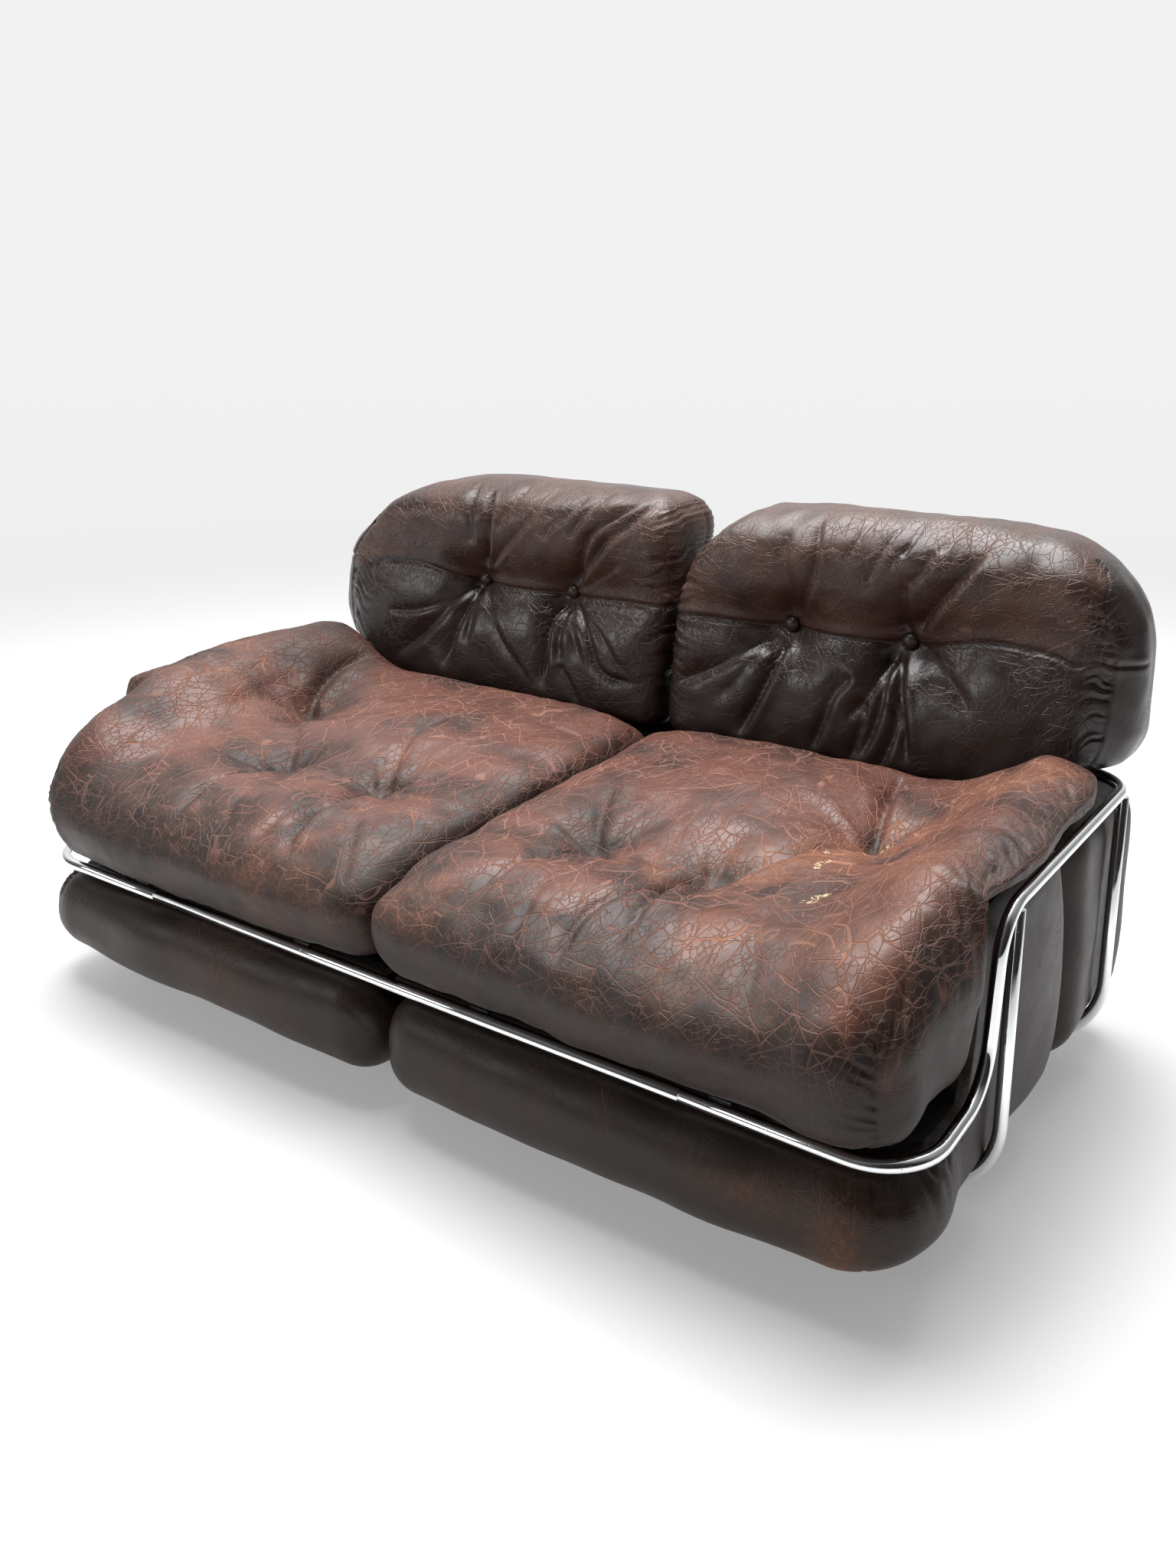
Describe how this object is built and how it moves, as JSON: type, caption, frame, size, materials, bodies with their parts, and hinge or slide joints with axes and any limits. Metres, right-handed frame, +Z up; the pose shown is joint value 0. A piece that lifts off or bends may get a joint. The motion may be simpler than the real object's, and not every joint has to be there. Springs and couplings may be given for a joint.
{
  "type": "worn leather sofa",
  "caption": "Low two-seat sofa: worn brown leather cushions with tufted seats and backs, in a bent chrome tube frame that loops round the seat and stands on hoops.",
  "frame": {"origin": "centre of the sofa's outline on the floor", "axes": "+Z up, +X to a viewer's right along the sofa's length, the sofa faces -Y"},
  "size_m": [1.6188, 0.9822, 0.815],
  "materials": {
    "tube_chrome": "polished, with pitting and dull tarnish at the bends",
    "bare_steel": "dull zinc-grey",
    "glide_plastic": "black, moulded",
    "bearer_wood": "unfinished",
    "liner_cloth": "black woven dust cloth, matt",
    "pod_leather": "dark brown, satin, scuffed at the corners",
    "seat_leather": "brown worn to red-brown and tan, covered in fine crossing cracks",
    "back_leather": "dark brown, glossy in the folds, red-brown above the seam",
    "button_leather": "dark brown, rubbed"
  },
  "bodies": {
    "root": {"rail_left": "tube_chrome", "spigot_front_left": "bare_steel", "spigot_rear_left": "bare_steel", "glide_front_left": "glide_plastic", "block_front_outer_left": "bearer_wood", "block_front_inner_left": "bearer_wood", "glide_rear_left": "glide_plastic", "block_rear_outer_left": "bearer_wood", "block_rear_inner_left": "bearer_wood", "platform_left": "bearer_wood", "bracket_inner_left": "bare_steel", "screw_inner_left": "bare_steel", "upright_inner_left": "bare_steel", "button_inner_left": "button_leather", "bracket_outer_left": "bare_steel", "screw_outer_left": "bare_steel", "upright_outer_left": "bare_steel", "button_outer_left": "button_leather", "liner_left": "liner_cloth", "base_pod_left": "pod_leather", "rear_pod_left": "pod_leather", "seat_cushion_left": "seat_leather", "back_cushion_left": "back_leather", "rail_right": "tube_chrome", "spigot_front_right": "bare_steel", "spigot_rear_right": "bare_steel", "glide_front_right": "glide_plastic", "block_front_outer_right": "bearer_wood", "block_front_inner_right": "bearer_wood", "glide_rear_right": "glide_plastic", "block_rear_outer_right": "bearer_wood", "block_rear_inner_right": "bearer_wood", "platform_right": "bearer_wood", "bracket_inner_right": "bare_steel", "screw_inner_right": "bare_steel", "upright_inner_right": "bare_steel", "button_inner_right": "button_leather", "bracket_outer_right": "bare_steel", "screw_outer_right": "bare_steel", "upright_outer_right": "bare_steel", "button_outer_right": "button_leather", "liner_right": "liner_cloth", "base_pod_right": "pod_leather", "rear_pod_right": "pod_leather", "seat_cushion_right": "seat_leather", "back_cushion_right": "back_leather", "rail_front": "tube_chrome", "rail_rear": "tube_chrome", "hoop_front": "tube_chrome", "hoop_rear": "tube_chrome"}
  },
  "joints": []
}
